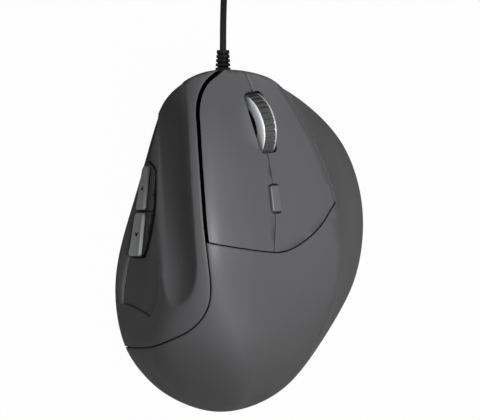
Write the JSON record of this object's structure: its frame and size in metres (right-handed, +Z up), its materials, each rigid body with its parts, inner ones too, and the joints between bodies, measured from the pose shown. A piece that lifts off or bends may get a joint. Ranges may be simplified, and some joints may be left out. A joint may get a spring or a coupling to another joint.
{
  "type": "ergonomic computer mouse",
  "caption": "Right-handed slanted ergonomic mouse with a thumb trough and panel, side buttons, ribbed wheel, split keys, speed button and a coiled cord with plug.",
  "frame": {"origin": "bottom centre of the box of the body and its cord boot, without the free cord, on the plane of the feet", "axes": "+Y to the front where the cord leaves, +X to the little-finger side, +Z up"},
  "size_m": [0.0987, 0.2184, 0.0606],
  "materials": {
    "soft_touch": "dark grey soft-touch coating",
    "soft_dark": "near-black soft thumb panel",
    "button_grey": "lighter grey cap",
    "black_plastic": "matt black moulding",
    "base_black": "fine textured black",
    "tyre_rubber": "ribbed rubber",
    "rim_chrome": "bright plated ring",
    "steel": "plain steel",
    "board_green": "green circuit board",
    "switch_white": "white switch part",
    "lens_clear": "clear moulded lens",
    "lamp_red": "red lamp",
    "foot_slide": "smooth low-friction pad",
    "cord_black": "soft cord jacket",
    "plug_metal": "bright plug shell"
  },
  "bodies": {
    "base": {"left_housing": "soft_touch", "palm_cover": "soft_touch", "thumb_panel": "soft_dark", "chassis": "black_plastic", "left_switch": "black_plastic", "right_switch": "black_plastic", "sensor_chip": "black_plastic", "strain_relief": "black_plastic", "cable_tie": "black_plastic", "usb_grip": "black_plastic", "base_plate": "base_black", "hinge_pin": "steel", "wheel_tact": "steel", "dpi_tact": "steel", "forward_tact": "steel", "back_tact": "steel", "screw_1": "steel", "screw_2": "steel", "screw_3": "steel", "screw_4": "steel", "screw_5": "steel", "screw_6": "steel", "main_board": "board_green", "button_board": "board_green", "side_board": "board_green", "cord_socket": "switch_white", "usb_tongue": "switch_white", "sensor_lens": "lens_clear", "sensor_lamp": "lamp_red", "foot_front": "foot_slide", "foot_rear": "foot_slide", "foot_left": "foot_slide", "foot_right": "foot_slide", "cable": "cord_black", "cable_coil": "cord_black", "cable_tail": "cord_black", "inner_lead": "cord_black", "usb_shell": "plug_metal"},
    "left_key": {"left_button": "soft_touch", "left_plunger": "switch_white"},
    "right_key": {"right_button": "soft_touch", "right_plunger": "switch_white"},
    "carrier": {"wheel_carrier": "black_plastic", "rotary_encoder": "black_plastic", "wheel_tact_plunger": "switch_white"},
    "wheel": {"wheel_tyre": "tyre_rubber", "wheel_hub": "black_plastic", "wheel_rim_left": "rim_chrome", "wheel_rim_right": "rim_chrome", "wheel_axle": "steel"},
    "forward": {"forward_button": "soft_touch", "forward_cap": "button_grey", "forward_tact_plunger": "switch_white"},
    "back": {"back_button": "soft_touch", "back_cap": "button_grey", "back_tact_plunger": "switch_white"},
    "dpi": {"dpi_button": "black_plastic", "dpi_tact_plunger": "switch_white"}
  },
  "joints": [
    {"name": "left_button_press", "type": "hinge", "parent": "base", "child": "left_key", "pos_m": [0.00431, -0.00111, 0.04189], "axis": [-0.809, 0, 0.5878], "range_deg": [0, 0.7], "stiffness_Nm_per_rad": 1, "springref_deg": -0.69},
    {"name": "right_button_press", "type": "hinge", "parent": "base", "child": "right_key", "pos_m": [0.00431, -0.00111, 0.04189], "axis": [-0.809, 0, 0.5878], "range_deg": [0, 0.7], "stiffness_Nm_per_rad": 1, "springref_deg": -0.69},
    {"name": "wheel_click", "type": "slide", "parent": "base", "child": "carrier", "axis": [-0.5846, -0.1045, -0.8046], "range_m": [0, 0.0005], "stiffness_N_per_m": 1500, "springref_m": -0.0004},
    {"name": "wheel_roll", "type": "hinge", "parent": "carrier", "child": "wheel", "pos_m": [0.00309, 0.03444, 0.03393], "axis": [0.7878, 0.1641, -0.5937], "continuous": true},
    {"name": "forward_button_press", "type": "slide", "parent": "base", "child": "forward", "axis": [1, 0, 0], "range_m": [0, 0.0004], "stiffness_N_per_m": 1500, "springref_m": -0.0006},
    {"name": "back_button_press", "type": "slide", "parent": "base", "child": "back", "axis": [1, 0, 0], "range_m": [0, 0.0004], "stiffness_N_per_m": 1500, "springref_m": -0.0006},
    {"name": "dpi_button_press", "type": "slide", "parent": "base", "child": "dpi", "axis": [-0.5846, -0.1045, -0.8046], "range_m": [0, 0.0003], "stiffness_N_per_m": 1500, "springref_m": -0.0006}
  ]
}
